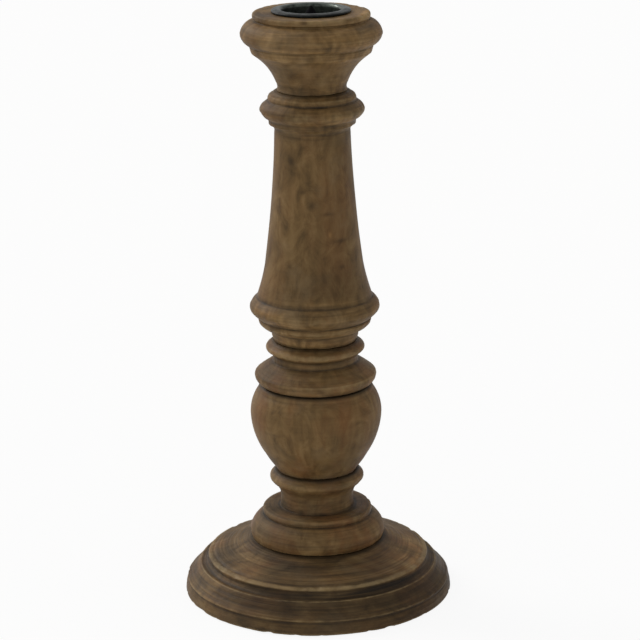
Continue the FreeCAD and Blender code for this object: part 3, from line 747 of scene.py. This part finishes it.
class StandMetal(bpy.types.PropertyGroup):
    """Colours of the cup, the spike, the hardware and the felt"""
    cup: colour_prop("Cup", "Tarnished sheet", "#5C625C")
    tarnish: colour_prop("Tarnish", "Darkest clouds of tarnish", "#232623")
    # On the cup this colour is also the painted highlight at the flange's crest.
    bright: colour_prop("Rubbed sheet", "Sheet where it is rubbed", "#98A097")
    spike: colour_prop("Spike", "Darkened spike steel", "#18161A")
    # On the cup this colour is also the painted shade.
    soot_and_shade: colour_prop("Soot", "Darkest parts of the spike", "#0D0C0E")
    zinc: colour_prop("Zinc", "Zinc plate", "#B9BBBC")
    zinc_dull: colour_prop("Dull zinc", "Bloom on the zinc plate", "#8E9193")
    felt: colour_prop("Felt", "Hairs of the felt", "#2B2926")
    felt_deep: colour_prop("Felt, deep", "Gaps between the felt's hairs", "#161513")


class StandStage(bpy.types.PropertyGroup):
    """Camera, light and floor"""
    focal: FloatProperty(name="Focal length", description="Camera lens on a 36 mm sensor, in mm",
                         default=145.88, min=20.0, max=400.0)
    camera_away: FloatProperty(name="Camera distance", description="Level distance from the axis",
                               default=1.6584, unit="LENGTH", min=0.2)
    camera_up: FloatProperty(name="Camera height", description="Height over the floor",
                             default=0.6786, unit="LENGTH", min=0.0)
    camera_aside: FloatProperty(name="Camera aside", description="Distance right of the axis",
                                default=0.0034, unit="LENGTH")
    camera_down: FloatProperty(name="Camera pitch", description="Angle below the horizon",
                               default=math.radians(16.43), subtype="ANGLE")
    camera_roll: FloatProperty(name="Camera roll", description="Turn about the line of sight",
                               default=math.radians(-0.7), subtype="ANGLE")
    dome: FloatProperty(name="Dome light", description="Strength of the even light from all round",
                        default=0.62, min=0.0)
    key: FloatProperty(name="Key light", description="Strength of the soft light from the left",
                       default=1.3, min=0.0)
    floor: colour_prop("Floor", "Pale studio floor", "#F4F3F1")


# Operators


def finish_piece(piece, node, material):
    """Gives a new piece its material and its place in the frame."""
    piece.data.materials.append(material)
    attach(piece, "root")
    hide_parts(node)


class STAND_OT_turned_wood(bpy.types.Operator):
    """Build the six turned wooden pieces with worn edges and waxed wood"""
    bl_idname = "candle_stand.turned_wood"
    bl_label = "Turned wood"

    def execute(self, context):
        wood = context.scene.candle_stand_wood
        for number, (node, _, pith, _, red, *_) in enumerate(TURNED):
            material = waxed_wood(node, pith, red, wood)
            finish_piece(turned_piece(number, wood), node, material)
        return {"FINISHED"}


class STAND_OT_drip_cup(bpy.types.Operator):
    """Build the pressed metal cup with its rolled flange"""
    bl_idname = "candle_stand.drip_cup"
    bl_label = "Drip cup"

    def execute(self, context):
        # Radius and height over the seat in mm, with bows, from the hole over the inside and
        # back underneath: a sheet 0.8 mm thick with a rolled edge.
        sheet = (
            (3.3, 0.8, 0.0), (16.8, 0.8, 0.207), (19.2, 3.2, 0.0), (19.2, 12.6, -0.207),
            (21.4, 14.8, -0.04), (25.1, 14.3, -0.207), (CUP_FLANGE_R, 13.4, 0.0),
            (CUP_FLANGE_R, 13.0, 0.0), (25.2, 13.0, 0.0), (25.2, 13.4, 0.207), (25.1, 13.5, 0.04),
            (21.4, 14.0, 0.207), (20.0, 12.6, 0.0), (20.0, 3.2, -0.207), (16.8, 0.0, 0.0),
            (3.3, 0.0, 0.0), (3.3, 0.8, 0.0),
        )
        step, corner, columns = 0.2, 0.12, 240
        grid = around_axis(blurred(bowed(sheet, step)[:-1], corner, step, "wrap"), columns)
        seat = level("drip_cup", 0)
        grid[..., 2] += seat
        # A hand-finished cup: the flange waves by 0.12 mm and narrows by 0.1 mm with the turn.
        turn = np.arange(columns) / columns * 2 * np.pi
        radius = np.hypot(grid[..., 0], grid[..., 1])
        wave = np.clip((radius - 21.5) / 4, 0, 1) * (0.5 - 0.5 * np.sin(3 * turn + 0.6) * np.cos(2 * turn))
        grid[..., :2] *= (1 - 0.1 * wave / radius)[..., None]
        grid[..., 2] -= 0.12 * wave
        # Painted shade, with some grime and soot, darkens the rolled edge, the front and sides of the
        # flange, and low down inside. A painted highlight lies in a ring at the flange's crest.
        rolled = np.clip((radius - 24.2) / 1.1, 0, 1)
        inside = np.clip((19.8 - radius) / 0.8, 0, 1)
        low = np.clip((seat + 12 - grid[..., 2]) / 6, 0, 1)
        front = np.clip(0.6 - grid[..., 1] / 25, 0, 1)
        grime = 0.65 * rolled + 0.35 * inside * low
        grime += 0.6 * (1 - grime) * (1 - inside) * front
        crest = 0.25 * np.exp(-((radius - 21.2) / 0.9) ** 2)
        piece = grid_mesh("drip_cup_metal", grid, True, {"grime": grime, "crest": crest})
        finish_piece(piece, "drip_cup", tarnished_cup_metal(context.scene.candle_stand_metal))
        return {"FINISHED"}


class STAND_OT_spike(bpy.types.Operator):
    """Build the spike: hexagonal base, round shank and point"""
    bl_idname = "candle_stand.spike"
    bl_label = "Spike"

    def execute(self, context):
        # Radius, height over the base in mm and how hexagonal the ring is. The first two rows
        # are the tapped hole.
        rows = np.array((
            (3.05, 4.6, 0.0), (3.05, 4.5, 0.0), (3.05, 0.0, 0.0), (5.9, 0.0, 1.0), (6.0, 0.1, 1.0),
            (6.0, 4.5, 1.0), (5.98, 5.0, 0.75), (5.9, 5.42, 0.25), (5.6, 5.5, 0.0), (4.4, 5.5, 0.0),
            (4.05, 5.55, 0.0), (4.0, 5.8, 0.0), (4.0, 8.3, 0.0), (3.92, 8.7, 0.0), (3.5, 9.8, 0.0),
            (2.3, 11.9, 0.0), (0.9, 13.8, 0.0), (0.34, 14.36, 0.0), (0.04, 14.49, 0.0),
        ))
        # Each stretch between two of them becomes 6 rows, in a straight line.
        steps = np.linspace(0, len(rows) - 1, 6 * (len(rows) - 1) + 1)
        radius, height, share = (np.interp(steps, np.arange(len(rows)), rows[:, k]) for k in range(3))
        columns = 96
        grid = around_axis(np.stack([radius, height + level("spike", 0)], 1), columns)
        # Distance to a hexagon's side: 1 / cos of the angle from the nearest flat's middle. The
        # corners are turned off at 1.128 times the flats' distance.
        turn = np.arange(columns) / columns * 2 * np.pi
        from_corner = (turn + np.pi / 6) % (np.pi / 3) - np.pi / 6
        side = np.minimum(1 / np.cos(np.pi / 6 - np.abs(from_corner)), 1.128)
        grid[..., :2] *= (1 + share[:, None] * (side - 1))[..., None]
        piece = grid_mesh("spike_steel", grid, False)
        finish_piece(piece, "spike", dark_spike_steel(context.scene.candle_stand_metal))
        return {"FINISHED"}


class STAND_OT_felt(bpy.types.Operator):
    """Build the felt disc under the foot"""
    bl_idname = "candle_stand.felt"
    bl_label = "Felt disc"

    def execute(self, context):
        # Rows from the middle of the underside to the middle of the top, round a soft edge, in mm.
        middle_r, edge_r, bulge, thickness, under_rows, over_rows = 0.4, 82.4, 0.5, 2.0, 80, 20
        rim = np.linspace(0, np.pi, 9)[1:-1]
        under = np.linspace(middle_r, edge_r, under_rows)
        over = np.linspace(edge_r, middle_r, over_rows)
        radius = np.concatenate([under, edge_r + bulge * np.sin(rim), over])
        height = np.concatenate([under * 0, (1.0 - np.cos(rim)) * thickness / 2, over * 0 + thickness])
        grid = around_axis(np.stack([radius, height], 1), 220)
        # The matted face is uneven by 0.1 mm, always upward from the floor.
        lift = np.clip(waves(grid.reshape(-1, 3), 5.0, 90).reshape(grid.shape[:2]), 0, 2) * 0.05
        grid[:under_rows, :, 2] += lift[:under_rows]
        piece = grid_mesh("felt_pad", grid, False)
        finish_piece(piece, "felt_disc", pressed_felt(context.scene.candle_stand_metal))
        # Cut as a disc 166 mm across from flat felt, and glued flat in the foot's recess.
        return {"FINISHED"}


class STAND_OT_hardware(bpy.types.Operator):
    """Give the rod, nut and washers their zinc plate"""
    bl_idname = "candle_stand.hardware"
    bl_label = "Hardware"

    def execute(self, context):
        metal = context.scene.candle_stand_metal
        plain, threaded = zinc_plate(metal, False), zinc_plate(metal, True)
        for node in ("tie_rod", "foot_nut", "foot_washer", "lock_washer", "spike_washer"):
            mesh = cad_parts[node].data
            mesh.materials.clear()
            mesh.materials.append(threaded if node == "tie_rod" else plain)
        return {"FINISHED"}


class STAND_OT_stage(bpy.types.Operator):
    """Set up the pale floor, the soft light and the camera"""
    bl_idname = "candle_stand.stage"
    bl_label = "Stage"

    def execute(self, context):
        scene = context.scene
        stage = scene.candle_stand_stage
        scene.view_settings.view_transform = "Standard"

        # A floor 16 m square.
        corners = [(-8, -8, 0), (8, -8, 0), (8, 8, 0), (-8, 8, 0)]
        mesh = bpy.data.meshes.new("studio_floor")
        mesh.from_pydata(corners, [], [(0, 1, 2, 3)])
        floor = bpy.data.objects.new("studio_floor", mesh)
        scene.collection.objects.link(floor)
        material = bpy.data.materials.new("Matt studio floor")
        material.use_nodes = True
        tree = material.node_tree
        tree.nodes.clear()
        # Nine tenths of what the camera sees is plain white, and the rest is paint that takes the
        # shadow.
        paint = add(tree, "ShaderNodeBsdfDiffuse", None, {"Color": stage.floor})
        glow = add(tree, "ShaderNodeEmission", None, {"Color": (1, 1, 1, 1), "Strength": 1.0})
        path = add(tree, "ShaderNodeLightPath")
        seen = add(tree, "ShaderNodeMath", {"operation": "MAXIMUM"}, {
            0: path.outputs["Is Camera Ray"], 1: add(tree, "ShaderNodeMath", {"operation": "MAXIMUM"}, {
                0: path.outputs["Is Glossy Ray"], 1: path.outputs["Is Transmission Ray"]})})
        share = add(tree, "ShaderNodeMath", {"operation": "MULTIPLY"}, {0: seen, 1: 0.9})
        both = add(tree, "ShaderNodeMixShader", None, {0: share, 1: paint, 2: glow})
        # From below the floor is clear, so that the underside can be looked at.
        clear = add(tree, "ShaderNodeMixShader", None, {
            0: add(tree, "ShaderNodeNewGeometry").outputs["Backfacing"], 1: both,
            2: add(tree, "ShaderNodeBsdfTransparent")})
        add(tree, "ShaderNodeOutputMaterial", None, {"Surface": clear})
        mesh.materials.append(material)

        world = bpy.data.worlds.new("Studio dome")
        scene.world = world
        world.use_nodes = True
        tree = world.node_tree
        tree.nodes.clear()
        path = add(tree, "ShaderNodeLightPath")
        seen = add(tree, "ShaderNodeMath", {"operation": "MAXIMUM"}, {
            0: path.outputs["Is Camera Ray"], 1: path.outputs["Is Transmission Ray"]})
        # The walls on the left are brighter than those on the right.
        way = add(tree, "ShaderNodeSeparateXYZ", None, {
            "Vector": add(tree, "ShaderNodeTexCoord").outputs["Generated"]})
        lit = add(tree, "ShaderNodeMapRange", None, {
            "Value": way.outputs[0], "From Min": -1.0, "From Max": 1.0,
            "To Min": 1.3 * stage.dome, "To Max": 0.7 * stage.dome})
        dome = add(tree, "ShaderNodeBackground", None, {"Color": (0.97, 0.985, 1.0, 1), "Strength": lit})
        white = add(tree, "ShaderNodeBackground", None, {"Color": (1, 1, 1, 1), "Strength": 1.0})
        both = add(tree, "ShaderNodeMixShader", None, {0: seen, 1: dome, 2: white})
        add(tree, "ShaderNodeOutputWorld", None, {"Surface": both})

        # One large soft lamp, on the left, a little behind the object and 35 degrees up.
        lamp = bpy.data.lights.new("key_light", "SUN")
        lamp.energy = stage.key
        lamp.angle = math.radians(28)
        lamp.color = (1.0, 0.985, 0.96)
        key = bpy.data.objects.new("key_light", lamp)
        key.rotation_euler = (math.radians(-28), math.radians(-50), 0)
        scene.collection.objects.link(key)

        lens = bpy.data.cameras.new("photo_camera")
        lens.sensor_width = 36.0
        lens.lens = stage.focal
        lens.clip_start, lens.clip_end = 0.05, 50.0
        camera = bpy.data.objects.new("photo_camera", lens)
        tilt = Matrix.Rotation(math.radians(90) - stage.camera_down, 4, "X")
        roll = Matrix.Rotation(stage.camera_roll, 4, "Z")
        camera.matrix_world = (Matrix.Translation((stage.camera_aside, -stage.camera_away, stage.camera_up))
                               @ tilt @ roll)
        scene.collection.objects.link(camera)
        scene.camera = camera
        return {"FINISHED"}


class STAND_PT_panel(bpy.types.Panel):
    """Candle stand tools in the 3D view's sidebar"""
    bl_idname = "STAND_PT_panel"
    bl_label = "Candle stand"
    bl_space_type = "VIEW_3D"
    bl_region_type = "UI"
    bl_category = "Candle stand"

    def draw(self, context):
        """Lists the operators and every setting."""
        for operator in OPERATORS:
            self.layout.operator(operator.bl_idname)
        for group in GROUPS:
            settings = getattr(context.scene, group)
            box = self.layout.box()
            for name in settings.__annotations__:
                box.prop(settings, name)


GROUPS = {
    "candle_stand_wood": StandWood,
    "candle_stand_metal": StandMetal,
    "candle_stand_stage": StandStage,
}
OPERATORS = (STAND_OT_turned_wood, STAND_OT_drip_cup, STAND_OT_spike, STAND_OT_felt,
             STAND_OT_hardware, STAND_OT_stage)


def register():
    """Registers the classes and hangs each group of settings on the scene."""
    for cls in (*GROUPS.values(), *OPERATORS, STAND_PT_panel):
        bpy.utils.register_class(cls)
    for name, group in GROUPS.items():
        setattr(bpy.types.Scene, name, PointerProperty(type=group))


def unregister():
    """Undoes what register does."""
    for name in GROUPS:
        delattr(bpy.types.Scene, name)
    for cls in reversed((*GROUPS.values(), *OPERATORS, STAND_PT_panel)):
        bpy.utils.unregister_class(cls)


def main():
    """Registers the add-on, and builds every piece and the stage."""
    register()
    for operator in OPERATORS:
        group, name = operator.bl_idname.split(".")
        getattr(getattr(bpy.ops, group), name)()


if __name__ == "__main__":
    main()
